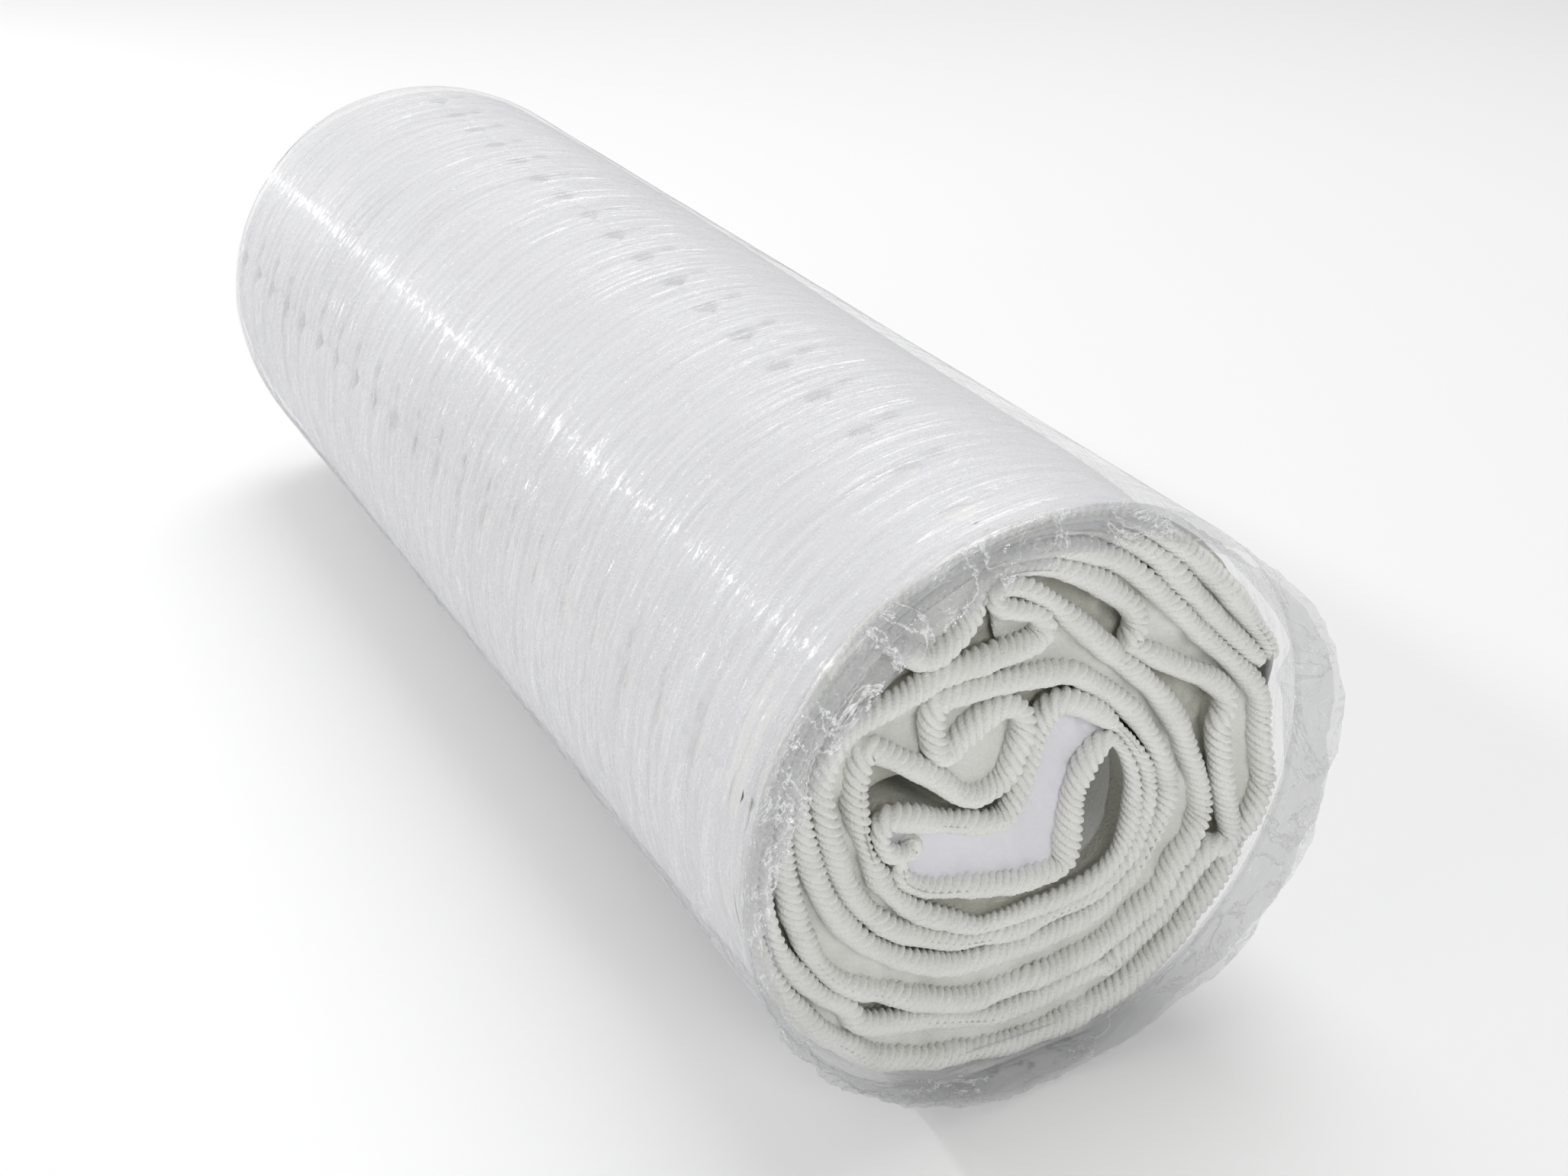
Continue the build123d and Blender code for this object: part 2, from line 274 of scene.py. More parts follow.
def film_material(name, clear, creased, stretch, haze_and_painted_reflection, bump_height, line_width):
    """Clear stretch film: mostly see-through and glossier along its creases, with a painted highlight that
    whitens the crease lines and a grey tint that is partly the film's haze and partly painted reflection.
    """
    material, tree, shader = new_material(name)
    link = tree.links.new
    place = node(tree, "ShaderNodeTexCoord")
    mapping = node(tree, "ShaderNodeMapping")
    mapping.inputs["Scale"].default_value = stretch
    link(place.outputs["Object"], mapping.inputs["Vector"])
    creases = node(tree, "ShaderNodeTexNoise", Scale=1.0, Detail=6.0, Roughness=0.65,
                   Distortion=0.8)
    link(mapping.outputs["Vector"], creases.inputs["Vector"])
    from_middle = node(tree, "ShaderNodeMath", operation="SUBTRACT")
    from_middle.inputs[1].default_value = 0.5
    link(creases.outputs["Fac"], from_middle.inputs[0])
    ridge = node(tree, "ShaderNodeMath", operation="ABSOLUTE")
    link(from_middle.outputs[0], ridge.inputs[0])
    lines = node(tree, "ShaderNodeMapRange")
    lines.inputs["From Min"].default_value = 0.0
    lines.inputs["From Max"].default_value = line_width
    lines.inputs["To Min"].default_value = creased
    lines.inputs["To Max"].default_value = clear
    link(ridge.outputs[0], lines.inputs["Value"])
    link(lines.outputs["Result"], shader.inputs["Alpha"])
    # Painted highlight: the base colour turns white along the crease lines, standing in for glints
    painted_glint_lines = node(tree, "ShaderNodeMapRange")
    painted_glint_lines.inputs["From Max"].default_value = line_width
    painted_glint_lines.inputs["To Min"].default_value = 1.0
    painted_glint_lines.inputs["To Max"].default_value = 0.0
    link(ridge.outputs[0], painted_glint_lines.inputs["Value"])
    colour = node(tree, "ShaderNodeValToRGB")
    colour.color_ramp.elements[0].color = (*haze_and_painted_reflection, 1)
    colour.color_ramp.elements[1].color = (0.95, 0.95, 0.96, 1)
    link(painted_glint_lines.outputs["Result"], colour.inputs["Fac"])
    link(colour.outputs["Color"], shader.inputs["Base Color"])
    bump = node(tree, "ShaderNodeBump", Strength=1.0, Distance=bump_height)
    link(creases.outputs["Fac"], bump.inputs["Height"])
    link(bump.outputs["Normal"], shader.inputs["Normal"])
    shader.inputs["Roughness"].default_value = 0.07
    shader.inputs["IOR"].default_value = 2.0
    shader.inputs["Specular IOR Level"].default_value = 1.0
    shader.inputs["Coat Weight"].default_value = 0.6
    shader.inputs["Coat Roughness"].default_value = 0.05
    return material


RIBBED = knit_material("ribbed_knit", (0.86, 0.86, 0.83), (0.77, 0.77, 0.73), 0.0011, 0.0007)
BORDER = knit_material("border_knit", (0.80, 0.79, 0.83), (0.75, 0.74, 0.78), 0.0009, 0.0003)
# A warmer off-white copy of the border knit with a darker low end: partly the fabric's own tone, partly
# painted shade for the strip away from the core
BORDER_WARM_AND_PAINTED_SHADE = knit_material("border_knit_in_shade", (0.82, 0.82, 0.79), (0.72, 0.72, 0.68),
                            0.0012, 0.0008)
# Painted shade: the same knit as the outer face, coloured a darker olive grey so the panel walls and
# pressed folds deep between the turns look shaded
PANEL_PAINTED_SHADE = knit_material("panel_knit", (0.66, 0.66, 0.59), (0.54, 0.54, 0.47), 0.0013, 0.0009)
OUTER = knit_material("outer_panel_knit", (0.82, 0.82, 0.835), (0.78, 0.78, 0.795),
                      0.0013, 0.0005, patch=9.0)
# The films' grey tints are partly the haze of layered film and partly painted reflection, darker on the
# collar; their crease lines are painted white as glints
FILM = film_material("stretch_film", 0.14, 0.42, (16.0, 240.0, 16.0), (0.67, 0.675, 0.70),
                     1.1 * MM, 0.04)
COLLAR_FILM = film_material("collar_film", 0.30, 0.85, (34.0, 48.0, 34.0), (0.50, 0.51, 0.53),
                            5.0 * MM, 0.022)

# ---------------------------------------------------------------- the two padded edges
top_line = held_in(smooth_curve(TOP_ROLL, LINE_STEP))
bottom_line = held_in(smooth_curve(BOTTOM_ROLL, LINE_STEP))
SAME_TURN = 0.16  # how far along its own line a roll has no neighbour, in roll radii
ROLL_PRESS = 1.06  # neighbours press into each other by this much


def roll_radius(line, other):
    """Each edge roll swells until it meets its neighbours."""
    everything = np.vstack([line, other])
    tree = KDTree(len(everything))
    for k, p in enumerate(everything):
        tree.insert((p[0], p[1], 0), k)
    tree.balance()
    near = []
    for k, p in enumerate(line):
        best = 2 * ROLL_THICKEST
        for _, index, far in tree.find_range((p[0], p[1], 0), 2 * ROLL_THICKEST):
            if index >= len(line) or abs(index - k) > SAME_TURN / LINE_STEP:
                best = min(best, far)
        near.append(best / 2)
    near = np.clip(np.array(near) * ROLL_PRESS, ROLL_THINNEST, ROLL_THICKEST)
    return softened(near, 41)


top_radius = roll_radius(top_line, bottom_line)
bottom_radius = roll_radius(bottom_line, top_line)


def ribbed_tube(line, across, radius, seed, sides=20):
    """A padded roll's surface, with slanted ribs and rounded ends; line and radius in metres."""
    forward = np.gradient(line, axis=0)
    forward /= np.linalg.norm(forward, axis=1, keepdims=True)
    third = np.cross(forward, across)
    along = np.concatenate([[0], np.cumsum(np.linalg.norm(np.diff(line, axis=0), axis=1))])
    around = np.linspace(0, 2 * np.pi, sides, endpoint=False)
    slip = waves(along, seed, RIB_SLIP)
    phase = np.pi * (along + slip)[:, None] / RIB_PITCH + RIB_STARTS / 2 * around[None, :]
    lobes = np.abs(np.sin(phase)) ** 0.8
    depth = RIB_DEPTH + 0.08 * waves(along, seed + 3, [(0.05, 1.0)])
    puff = waves(along, seed + 5, ROLL_PUFF)
    reach = radius[:, None] * (0.90 + depth[:, None] * (lobes - 0.55) + puff[:, None])
    to_end = np.minimum(along, along[-1] - along) / radius
    rounded = np.sqrt(np.clip(1 - np.clip(1 - to_end, 0, 1) ** 2, 0.0004, 1))
    reach = reach * rounded[:, None]
    out = (np.cos(around)[None, :] * reach)[..., None] * across[:, None, :]
    back = (np.sin(around)[None, :] * reach * ROLL_STRETCH)[..., None] * third[:, None, :]
    return line[:, None, :] + out + back


def edge_roll(name, line, radius, y_end, outwards, seed, replaced):
    """The padded roll that follows the sheet's edge at one end of the mattress roll."""
    normal = side_way(line)
    arc = np.arange(len(line)) * LINE_STEP * R
    drift = waves(arc, seed + 9, EDGE_DRIFT)
    inset = ROLL_THICKEST * R * ROLL_STRETCH + 1.6 * MM + np.maximum(drift, -1.2 * MM)
    middle = np.stack([line[:, 0] * R, y_end - outwards * inset, AXIS_Z + line[:, 1] * R],
                      axis=1)
    across = np.stack([normal[:, 0], np.zeros(len(line)), normal[:, 1]], axis=1)
    rows = shouldered(ribbed_tube(middle, across, radius * R, seed))
    piece = grid_object(name, rows, RIBBED, replaced, closed_across=True)


edge_roll("front_top_roll", top_line, top_radius, Y_FRONT, -1, 1, "front_top_edge_roll")
edge_roll("front_bottom_roll", bottom_line, bottom_radius, Y_FRONT, -1, 2, "front_bottom_edge_roll")
edge_roll("rear_top_roll", top_line, top_radius, Y_REAR, 1, 3, "rear_top_edge_roll")
edge_roll("rear_bottom_roll", bottom_line, bottom_radius, Y_REAR, 1, 4, "rear_bottom_edge_roll")


END_ROLL_RADIUS = 0.026 * R


def end_roll(name, place, seed, replaced):
    """The edge roll that runs along the core or the tail, from the open end to the closed one."""
    y = np.arange(Y_FRONT + 5 * MM, Y_REAR - 5 * MM, 0.45 * MM)
    sway = waves(y, seed, [(0.2, 0.8 * MM)])
    middle = np.stack([place[0] * R + sway, y, np.full_like(y, AXIS_Z + place[1] * R)],
                      axis=1)
    across = np.tile([1.0, 0.0, 0.0], (len(y), 1))
    radius = np.full(len(y), END_ROLL_RADIUS)
    rows = shouldered(ribbed_tube(middle, across, radius, seed, sides=16))
    piece = grid_object(name, rows, RIBBED, replaced, closed_across=True)


end_roll("head_top_roll", top_line[0], 21, "head_top_edge_roll")
end_roll("head_bottom_roll", bottom_line[0], 22, "head_bottom_edge_roll")
end_roll("foot_top_roll", top_line[-1], 23, "foot_top_edge_roll")
end_roll("foot_bottom_roll", bottom_line[-1], 24, "foot_bottom_edge_roll")


def end_border(name, low, high, bulge, replaced):
    """The smooth strip between the two edge rolls at the core or the tail."""
    y = np.linspace(Y_FRONT + 8 * MM, Y_REAR - 8 * MM, 160)
    share = np.linspace(0, 1, 7)
    rows = np.zeros((len(y), len(share), 3))
    for k, s in enumerate(share):
        spot = low + (high - low) * s
        uneven = waves(y, 31 + k, [(0.05, 0.5 * MM)])
        rows[:, k, 0] = spot[0] * R + bulge * math.sin(math.pi * s) + uneven
        rows[:, k, 1] = y
        rows[:, k, 2] = AXIS_Z + spot[1] * R
    piece = grid_object(name, shouldered(rows), BORDER, replaced)


end_border("head_border_strip", top_line[0], bottom_line[0], -2 * MM, "head_border")
end_border("foot_border_strip", top_line[-1], bottom_line[-1], 2 * MM, "foot_border")


# ---------------------------------------------------------------- the border tucked in between them
def matched(a, b):
    """Pairs of points of two lines that run side by side, without ever going back on either."""
    gap = np.linalg.norm(a[:, None] - b[None], axis=2) ** 2
    cost = np.full(gap.shape, np.inf)
    cost[0, 0] = gap[0, 0]
    for i in range(len(a)):
        for j in range(len(b)):
            if i or j:
                before = min(cost[i - 1, j] if i else np.inf, cost[i, j - 1] if j else np.inf,
                             cost[i - 1, j - 1] if i and j else np.inf)
                cost[i, j] = gap[i, j] + before
    i, j = len(a) - 1, len(b) - 1
    pairs = [(i, j)]
    while i or j:
        steps = ((i - 1, j - 1), (i - 1, j), (i, j - 1))
        _, i, j = min((cost[p, q], p, q) for p, q in steps if p >= 0 and q >= 0)
        pairs.append((i, j))
    return pairs[::-1]


top_coarse, bottom_coarse = top_line[::COARSE], bottom_line[::COARSE]
pairs = matched(top_coarse, bottom_coarse)
CORE_PART = 0.16  # share of the border, from the core, with the cooler fabric colour
BORDER_SUNK = 0.0085  # how far the border lies in from the end, in metres


def border_sheet(name, y_end, outwards, replaced):
    """The smooth side strip, sunk between the rolls and slightly creased."""
    across = np.linspace(0, 1, 9)
    rows = []
    for i, j in pairs:
        a, b = top_coarse[i], bottom_coarse[j]
        width = np.linalg.norm(b - a) * R
        for_row = []
        for s in across:
            p = a + (b - a) * s
            sink = BORDER_SUNK + 0.16 * min(width, 0.03) * math.sin(math.pi * s)
            crease = bumps(p[0], p[1], 9, 3.1) * 0.0030
            crease += abs(bumps(p[0], p[1], 14, 7.7)) * 0.0040
            for_row.append((p[0] * R, y_end - outwards * (sink + crease), AXIS_Z + p[1] * R))
        rows.append(for_row)
    piece = grid_object(name, shouldered(np.array(rows)), BORDER, replaced)
    # The strip away from the core takes the warmer copy with painted shade
    piece.data.materials.append(BORDER_WARM_AND_PAINTED_SHADE)
    strips = len(across) - 1
    for face in piece.data.polygons:
        if face.index // strips > CORE_PART * len(pairs):
            face.material_index = 1


border_sheet("front_border_strip", Y_FRONT, -1, "front_border")
border_sheet("rear_border_strip", Y_REAR, 1, "rear_border")


# ---------------------------------------------------------------- the panels between the two ends
WALL_LIMIT = 0.93  # how far out the walls may lie, in roll radii


def panel_wall(name, line, replaced):
    """The quilted face that runs back from an edge roll to the other end of the mattress roll."""
    thin = line[::WALL_COARSE]
    normal = side_way(thin)
    steps = np.concatenate([np.linspace(0.004, 0.09, 22), np.linspace(0.12, 0.68, 15),
                            np.linspace(0.71, LENGTH - 0.004, 22)])
    along = np.arange(len(thin)) * WALL_COARSE * LINE_STEP * R
    rows = []
    for y in steps:
        bulge = 1.6 * MM * np.sin(along / 0.034 + 3.0 * np.sin(y * 14.0)) * min(1.0, y / 0.03)
        x = thin[:, 0] * R + normal[:, 0] * bulge
        z = thin[:, 1] * R + normal[:, 1] * bulge
        held = 1.0
        if y > 0.012:
            held = np.minimum(1, WALL_LIMIT * R / np.maximum(np.hypot(x, z), 1e-6))
        x, z = x * held, AXIS_Z + z * held
        rows.append(np.stack([x, np.full_like(x, Y_FRONT + y), z], axis=-1))
    # The wall carries the panel knit's painted shade
    piece = grid_object(name, shouldered(np.array(rows)), PANEL_PAINTED_SHADE, replaced)


panel_wall("inner_face_panel", top_line, "top_panel")
panel_wall("outer_face_panel", bottom_line, "bottom_panel")


# Hollows between the folds: middle and half sizes in roll radii, depth in metres
HOLLOWS = [((0.27, -0.06), (0.13, 0.26), 0.20), ((-0.42, 0.03), (0.14, 0.10), 0.05),
           ((-0.19, 0.24), (0.10, 0.10), 0.02), ((0.05, -0.12), (0.30, 0.12), 0.03)]
FOLDS_SUNK = 0.0185  # how far in from the end the turns press together, in metres


def pressed_folds(name, y_end, outwards, replaced):
    """Where the turns press against each other, a little way in from the edge rolls."""
    radii = np.linspace(0.0, 0.945, 150)
    angles = np.linspace(0, 2 * np.pi, 420, endpoint=False)
    rows = np.zeros((len(radii), len(angles), 3))
    for k, r in enumerate(radii):
        for j, angle in enumerate(angles):
            u, v = r * math.cos(angle), r * math.sin(angle)
            depth = FOLDS_SUNK + 0.0035 * bumps(u, v, 6, 2.2) + 0.002 * bumps(u, v, 19, 4)
            for (mu, mv), (su, sv), deep in HOLLOWS:
                far = ((u - mu) / su) ** 2 + ((v - mv) / sv) ** 2
                depth += deep / (1 + far**4)
            height = AXIS_Z + max(v * R, 1.5 * MM - AXIS_Z)
            rows[k, j] = (u * R, y_end - outwards * depth, height)
    # The pressed folds carry the panel knit's painted shade
    piece = grid_object(name, shouldered(rows), PANEL_PAINTED_SHADE, replaced,
                        closed_across=True)


pressed_folds("front_pressed_folds", Y_FRONT, -1, "bottom_panel")
pressed_folds("rear_pressed_folds", Y_REAR, 1, "bottom_panel")


def inner_layer(name, low, high, colour):
    """A soft layer between the two quilted faces, from one share of the thickness to another."""
    a = np.array([top_coarse[i] for i, _ in pairs])
    b = np.array([bottom_coarse[j] for _, j in pairs])
    loop = np.vstack([a + (b - a) * low, (a + (b - a) * high)[::-1]])
    y = np.linspace(Y_FRONT + 24 * MM, Y_REAR - 24 * MM, 12)
    rows = np.zeros((len(y), len(loop), 3))
    rows[:, :, 0] = loop[:, 0] * R
    rows[:, :, 1] = y[:, None]
    rows[:, :, 2] = AXIS_Z + loop[:, 1] * R
    darker = tuple(0.94 * c for c in colour)
    material = knit_material(name + "_surface", colour, darker, 1.6 * MM, 0.4 * MM)
    piece = grid_object(name + "_layer", shouldered(rows), material, name,
                        closed_across=True)


inner_layer("top_wadding", 0.06, 0.16, (0.86, 0.86, 0.84))
inner_layer("memory_foam", 0.17, 0.42, (0.86, 0.80, 0.62))
inner_layer("support_foam", 0.43, 0.88, (0.80, 0.80, 0.76))
inner_layer("bottom_wadding", 0.89, 0.94, (0.86, 0.86, 0.84))


# ---------------------------------------------------------------- the outside of the roll
def roll_outline(angle, radius):
    """The wrapped roll's outline in roll radii: round, and settled flat on the floor."""
    x, z = radius * np.cos(angle), radius * np.sin(angle)
    return x, np.maximum(z, -AXIS_Z / R * radius)


# Quilting rows along the roll: angle at the open end and drift per metre, in degrees, depth,
# and stitch spacing in metres
QUILT_ROWS = [(100.6, -20.0, 1.0, 0.0410), (164.5, -2.0, 0.8, 0.0345), (222.0, -8.0, 0.8, 0.0400),
              (330.0, -8.0, 0.8, 0.0400), (38.0, -8.0, 0.7, 0.0400)]
DIMPLE_DEPTH, GROOVE_DEPTH, CREASE_DEPTH = 0.0052, 0.0013, 0.0010  # in metres
DIMPLE_WIDTH, GROOVE_WIDTH, CREASE_WIDTH = 0.0050, 0.0024, 0.05  # in metres
DIMPLE_AT = 0.86  # the dimple's place in a stitch, from 0 to 1
FACE_RADIUS = 0.984
FILM_RADIUS = 0.994
SLACK_LIFT = 0.14  # the film is slackest this far above the left flank's middle, in radians


def fabric_edge(angles):
    """Where the outermost turn's face lies at the open end, in roll radii at each angle."""
    outer = np.full(len(angles), 0.80)
    turns = np.arange(len(angles)) / len(angles) * 2 * np.pi
    reach = np.linalg.norm(bottom_line, axis=1) + 0.75 * bottom_radius
    where = np.arctan2(bottom_line[:, 1], bottom_line[:, 0]) % (2 * np.pi)
    index = np.round(where / (2 * np.pi) * len(angles)).astype(int) % len(angles)
    for k, far in zip(index, reach):
        outer[k] = max(outer[k], far)
    ring = np.concatenate([outer, outer, outer])
    side = 5
    wide = np.array([ring[k - side:k + side + 1].max() for k in range(side, len(ring) - side)])
    wide = np.concatenate([ring[:side], wide, ring[-side:]])
    evened = np.minimum(softened(wide, 25)[len(outer):2 * len(outer)], FACE_RADIUS)
    return np.interp(angles, turns, evened, period=2 * np.pi)


def outer_skin():
    """The quilted outer face under the film, rounded over at both ends."""
    angles = np.linspace(0, 2 * np.pi, 620, endpoint=False)
    shoulder = LENGTH - REAR_SHOULDER
    ys = np.concatenate([np.linspace(3.5 * MM, 0.03, 16, endpoint=False),
                         np.linspace(0.03, shoulder, 660, endpoint=False),
                         np.linspace(shoulder, LENGTH - 2 * MM, 36)])
    rows = np.zeros((len(ys), len(angles), 3))
    phases = np.random.default_rng(12).uniform(0, MOST_PHASE, 6)
    front_edge = fabric_edge(angles)
    left_flank = (0.5 - 0.5 * np.cos(angles + SLACK_LIFT)) ** 2
    for k, y in enumerate(ys):
        settle = math.exp(-(y / 0.055) ** 2)
        radius = (FACE_RADIUS * (1 - settle) + front_edge * settle) * R
        radius -= drawn_in(y) * R
        radius -= 0.040 * R * max(0.0, 1 - y / 0.022) ** 2
        radius += (0.0012 * np.sin(3 * angles + 5 * y + phases[0])
                   + 0.0008 * np.sin(7 * angles - 9 * y + phases[1]))
        radius -= 0.0012 + 0.0008
        for start, drift, depth, pitch in QUILT_ROWS:
            turn = (y / pitch) % 1.0
            wander = 0.030 * (turn - 0.5) * (1 if turn < 0.92 else -8)
            middle = math.radians(start + drift * y) + wander
            away = (angles - middle + np.pi) % (2 * np.pi) - np.pi
            dip = math.exp(-((turn - DIMPLE_AT) / 0.10) ** 2)
            radius -= depth * DIMPLE_DEPTH * np.exp(-(away * R / DIMPLE_WIDTH) ** 2) * dip
            radius -= depth * GROOVE_DEPTH * np.exp(-(away * R / GROOVE_WIDTH) ** 2)
            side = np.clip(away * R / CREASE_WIDTH, -1.5, 1.5)
            crease = math.exp(-((turn - DIMPLE_AT) / 0.05) ** 2) * np.exp(-side**2)
            radius -= depth * CREASE_DEPTH * crease
        ripple = np.sin(2 * np.pi * y / 0.0083 + 2.2 * np.sin(2 * angles + phases[2])
                        + 3 * math.sin(y * 31 + phases[3]))
        ripple += 0.7 * np.sin(2 * np.pi * y / 0.0129 + 3.1 * np.sin(3 * angles + phases[4])
                               + 2 * math.sin(y * 19))
        ripple += 0.5 * np.sin(2 * np.pi * y / 0.0237 + 2.6 * np.sin(2 * angles + phases[5]))
        radius += 0.00040 * ripple * (0.25 + 0.75 * left_flank)
        x, z = roll_outline(angles, radius / R)
        rows[k, :, 0] = x * R
        rows[k, :, 1] = Y_FRONT + y
        rows[k, :, 2] = AXIS_Z + z * R
    piece = grid_object("outer_quilted_face", rows, OUTER, "bottom_panel",
                        closed_across=True)


outer_skin()


# ---------------------------------------------------------------- stretch film
# Pitches and heights of the sleeve's wrinkles, in metres
WRINKLES = [(0.0021, 0.00009), (0.0034, 0.00015), (0.0055, 0.00020), (0.0091, 0.00022),
            (0.0150, 0.00025)]


def film_sleeve():
    """Film drawn tight round the roll and over its rear shoulder, finely wrinkled round it."""
    angles = np.linspace(0, 2 * np.pi, 300, endpoint=False)
    shoulder = LENGTH - REAR_SHOULDER
    ys = np.concatenate([np.linspace(-1 * MM, shoulder, 1150, endpoint=False),
                         np.linspace(shoulder, LENGTH, 70)])
    rng = np.random.default_rng(5)
    rows = np.zeros((len(ys), len(angles), 3))
    wrinkle = np.zeros((len(ys), len(angles)))
    down = ys[:, None]
    for pitch, size in WRINKLES:
        for _ in range(3):
            own = pitch * rng.uniform(0.8, 1.25)
            bend = rng.uniform(1.0, 2.6)
            lean = bend * np.sin(angles * rng.integers(1, 4) + rng.uniform(0, MOST_PHASE))
            lean = lean + 0.8 * np.sin(angles * rng.integers(4, 8) + rng.uniform(0, MOST_PHASE))
            sway = 2.0 * np.sin(ys * rng.uniform(20, 60) + rng.uniform(0, MOST_PHASE))
            strong = 0.5 + 0.5 * np.sin(angles * rng.integers(2, 6) + down * rng.uniform(-30, 30))
            along = 2 * np.pi * down / own + lean[None, :] + sway[:, None]
            wrinkle += size * strong * np.sin(along)
    slack = 0.30 + 0.70 * (0.5 - 0.5 * np.cos(angles + SLACK_LIFT)) ** 2
    for k, y in enumerate(ys):
        radius = (FILM_RADIUS - drawn_in(y)) * R + wrinkle[k] * 1.6 * slack
        x, z = roll_outline(angles, radius / R)
        rows[k, :, 0] = x * R
        rows[k, :, 1] = Y_FRONT + y
        rows[k, :, 2] = np.maximum(AXIS_Z + z * R, 0.3 * MM)
    piece = grid_object("stretch_film_sleeve", rows, FILM, "film_sleeve",
                        closed_across=True)


def crumple(u, v, seed):
    """Sharp-edged folds: ridged noise, from -1 to 1."""
    total, size = 0.0, 1.0
    for octave in range(4):
        ridge = abs(bumps(u, v, 2.0**octave, seed + 7.3 * octave))
        total += size * (1 - 2.2 * ridge)
        size *= 0.5
    return total / 1.9


# The collar's free edge: angle in degrees, how far out it stands in roll radii, and how much of
# the collar's reach it takes
COLLAR_RIM = [(-180, 0.985, 0.9), (-150, 0.985, 1.0), (-130, 0.975, 1.0), (-110, 0.955, 1.0),
              (-90, 0.935, 1.0), (-60, 0.965, 1.0), (-40, 1.015, 1.0), (-15, 1.045, 1.0),
              (0, 1.03, 1.0), (20, 1.05, 0.95), (45, 0.985, 0.7), (70, 0.92, 0.4),
              (90, 0.865, 0.3), (110, 0.845, 0.3), (140, 0.84, 0.35), (160, 0.89, 0.5),
              (170, 0.94, 0.75), (180, 0.985, 0.9)]
FOLD_SIZE, FINE_FOLD_SIZE = 0.024, 0.012  # in roll radii


def collar_fold(name, seed, start, lift, crush, hugs=0.0):
    """One layer of the film that stands out past the open end, with a ragged free edge.

    It starts at the radius start, ends lift past the rim and lies on the mattress by the share
    hugs; crush is how crumpled it is.
    """
    angles = np.linspace(-np.pi, np.pi, 1100, endpoint=False)
    at, far, reach_share = zip(*COLLAR_RIM)
    rim = np.interp(np.degrees(angles), at, far)
    takes = np.interp(np.degrees(angles), at, reach_share)
    hugged = hugs * (fabric_edge(angles % (2 * np.pi)) + 0.03 - start)
    steps = np.linspace(0, 1, 44)
    reach = Y_FRONT - Y_RIM
    crushed = crush * (0.40 + 0.60 * np.clip(0.5 - 0.9 * np.cos(angles + 0.35), 0, 1))
    rows = np.zeros((len(steps), len(angles), 3))
    for j, angle in enumerate(angles):
        cx, cz = math.cos(angle) * NOISE_CIRCLE, math.sin(angle) * NOISE_CIRCLE
        ragged = 0.34 * bumps(cx, cz, 0.8, seed) + 0.05 * bumps(cx, cz, 4, seed + 9)
        end_at = min(1.0, takes[j] * (0.92 + ragged))
        for k, s in enumerate(steps):
            fold = crumple(cx * 0.9 + s * 0.7, cz * 0.9 - s * 0.5, seed + 4.0)
            fine = crumple(cx * 2.6 + s * 2.6, cz * 2.6 - s * 1.4, seed + 21.0)
            grown = min(1.0, s * 2.5)
            radius = start + hugged[j] * (1 - s) ** 1.5 + (rim[j] + lift - start) * s**1.3
            radius += crushed[j] * (FOLD_SIZE * fold + FINE_FOLD_SIZE * fine) * grown
            y = Y_FRONT + 3 * MM - (reach + 3 * MM) * s * end_at
            y += crush * 1.6 * MM * crumple(cx * 3 + 5, cz * 3 + s * 2.5, seed + 13) * grown * (1 - 0.7 * s)
            y = max(y, Y_RIM - 1 * MM)
            height = max(AXIS_Z + radius * math.sin(angle) * R, 0.3 * MM)
            rows[k, j] = (radius * math.cos(angle) * R, y, height)
    return grid_object(name, rows, COLLAR_FILM, "film_front_collar",
                       closed_across=True)


def front_collar():
    """The collar's outer and inner layers of film."""
    collar_fold("stretch_film_collar", 1.7, FILM_RADIUS, 0.0, 1.0)
    collar_fold("stretch_film_collar_lining", 33.1, FILM_RADIUS - 0.012, -0.03, 1.2,
                          hugs=1.0)


def rear_gather():
    """Film gathered in over the closed end in radial pleats."""
    angles = np.linspace(-np.pi, np.pi, 900, endpoint=False)
    steps = np.linspace(0, 1, 40)
    rows = np.zeros((len(steps), len(angles), 3))
    outer = 0.80
    for j, angle in enumerate(angles):
        cx, cz = math.cos(angle) * NOISE_CIRCLE, math.sin(angle) * NOISE_CIRCLE
        edge = 0.62 + 0.06 * bumps(cx, cz, 0.6, 3.3) + 0.04 * bumps(cx, cz, 3, 5)
        for k, s in enumerate(steps):
            radius = outer + (edge - outer) * s
            pleat = 0.0011 * crumple(cx * 3.0, cz * 3.0, 8.0 + s * 0.4)
            pleat += 0.0005 * crumple(cx * 9, cz * 9, 2.0)
            y = Y_REAR + 0.0012 + 0.0014 * math.sin(min(1, s * 4) * math.pi / 2) + pleat
            height = AXIS_Z + radius * math.sin(angle) * R
            rows[k, j] = (radius * math.cos(angle) * R, y, height)
    piece = grid_object("stretch_film_rear", rows, COLLAR_FILM, "film_rear_fold",
                        closed_across=True)


film_sleeve()
front_collar()
rear_gather()


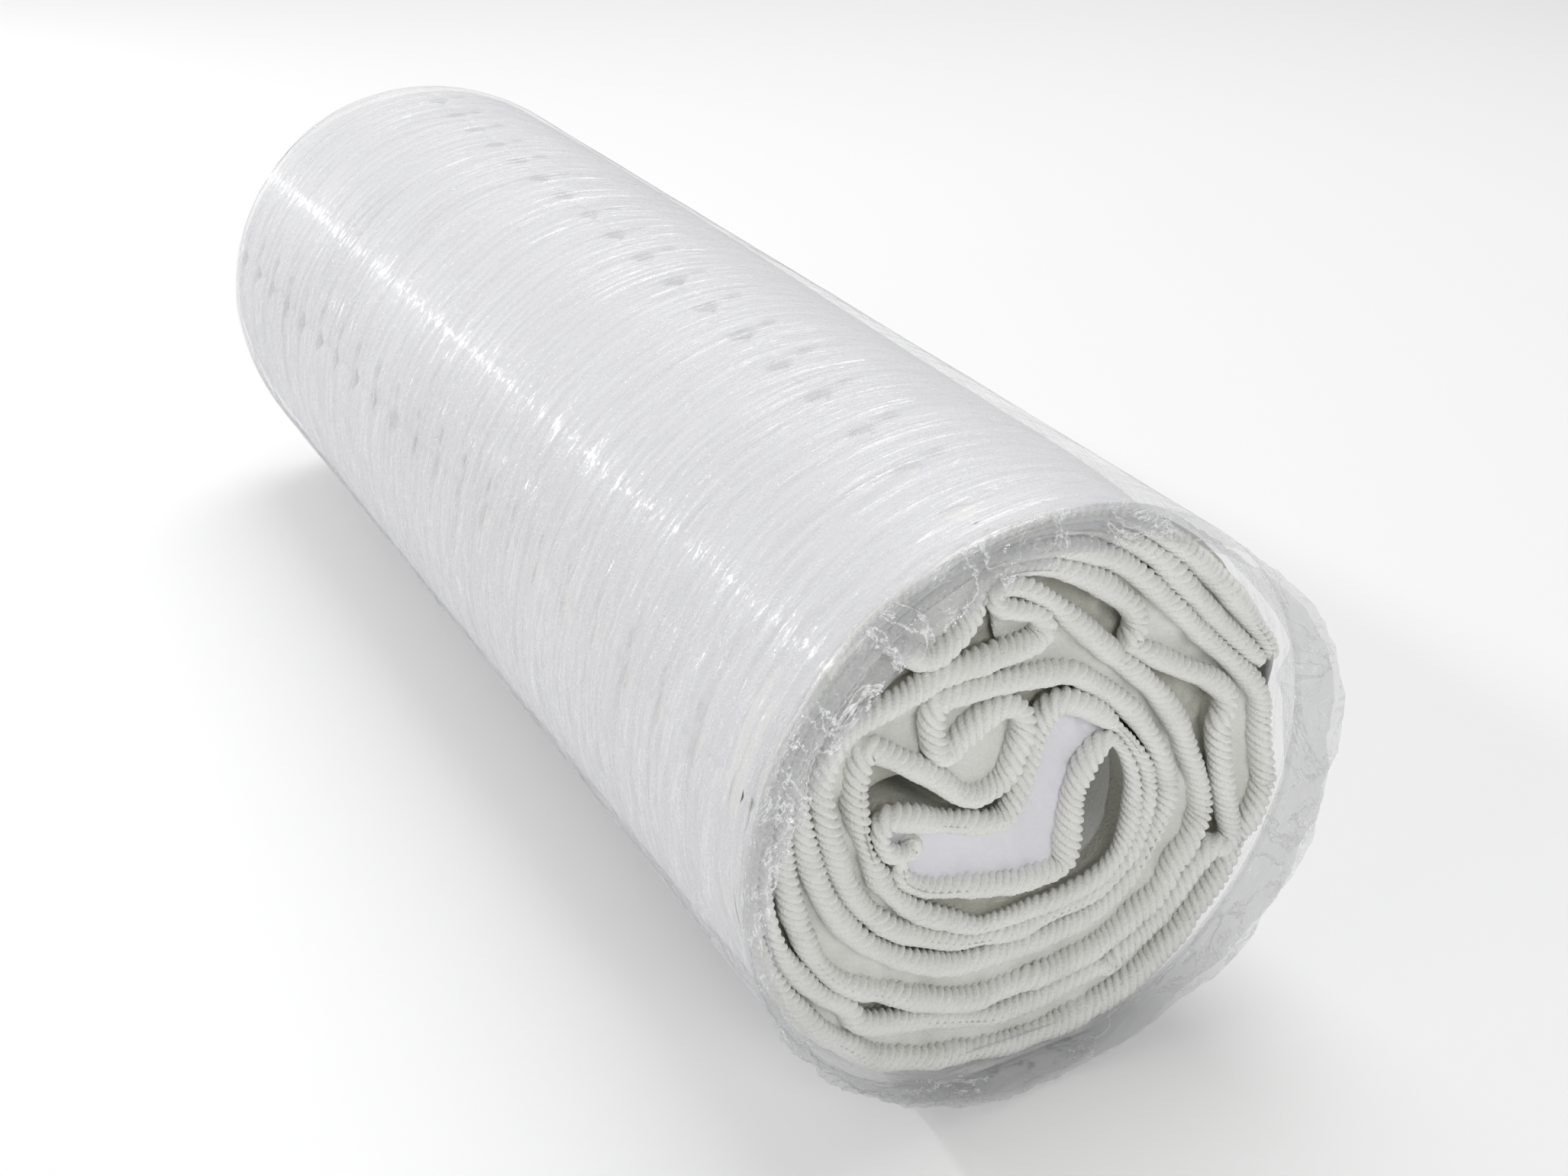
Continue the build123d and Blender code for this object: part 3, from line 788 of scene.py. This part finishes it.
# ---------------------------------------------------------------- floor, light and camera
def stage():
    """A pale paper floor and an evenly white world."""
    mesh = bpy.data.meshes.new("floor")
    size, low = 12.0, -0.5 * MM
    corners = [(-size, -size, low), (size, -size, low), (size, size, low), (-size, size, low)]
    mesh.from_pydata(corners, [], [(0, 1, 2, 3)])
    floor = bpy.data.objects.new("floor", mesh)
    bpy.context.scene.collection.objects.link(floor)
    material, _, shader = new_material("floor_paper")
    shader.inputs["Base Color"].default_value = (0.93, 0.93, 0.93, 1)
    shader.inputs["Roughness"].default_value = 0.9
    mesh.materials.append(material)
    world = bpy.data.worlds.new("studio")
    bpy.context.scene.world = world
    world.use_nodes = True
    background = world.node_tree.nodes["Background"]
    background.inputs["Color"].default_value = (1, 1, 1, 1)
    background.inputs["Strength"].default_value = 0.42


def area_light(name, place, target, size, power, size_y=None, along=(0.0, 1.0, 0.0)):
    """A soft light facing its target; along is the way its longer side runs."""
    light = bpy.data.lights.new(name, "AREA")
    light.energy = power
    light.size = size
    if size_y:
        light.shape = "RECTANGLE"
        light.size_y = size_y
    lamp = bpy.data.objects.new(name, light)
    bpy.context.scene.collection.objects.link(lamp)
    back = (Vector(place) - Vector(target)).normalized()
    up = Vector(along)
    side = up.cross(back).normalized()
    up = back.cross(side)
    turn = Matrix((side, up, back)).transposed()
    lamp.matrix_world = Matrix.Translation(place) @ turn.to_4x4()


def camera():
    """The camera at the photo's angle, placed from the middle of the open end."""
    data = bpy.data.cameras.new("camera")
    data.sensor_width = 36.0
    data.lens = 45.57
    made = bpy.data.objects.new("camera", data)
    bpy.context.scene.collection.objects.link(made)
    made.location = (-3.0134 * R, Y_RIM - 3.8245 * R, AXIS_Z + 3.3922 * R)
    yaw, pitch = math.radians(28.32), math.radians(28.08)
    flat = math.cos(pitch)
    looks = Vector((math.sin(yaw) * flat, math.cos(yaw) * flat, -math.sin(pitch)))
    made.rotation_euler = looks.to_track_quat("-Z", "Y").to_euler()
    data.clip_start, data.clip_end = 0.01, 50
    bpy.context.scene.camera = made


stage()
area_light("overhead", (0.9, 0.9, 3.2), (0, 0, 0.1), 2.6, 58)
area_light("streak", (-1.40, 1.65, 1.23), (-0.1, -0.05, 0.23), 0.05, 19, size_y=2.2,
           along=(-0.54, -0.68, 0.50))
area_light("window", (-2.4, -0.4, 0.9), (0, 0, 0.14), 0.12, 5, size_y=0.9)
area_light("fill", (-0.4, -2.4, 1.3), (0, -0.3, 0.12), 0.25, 15, size_y=1.0,
           along=(0.9, 0.0, 0.4))
camera()
bpy.context.scene.view_settings.view_transform = "Standard"
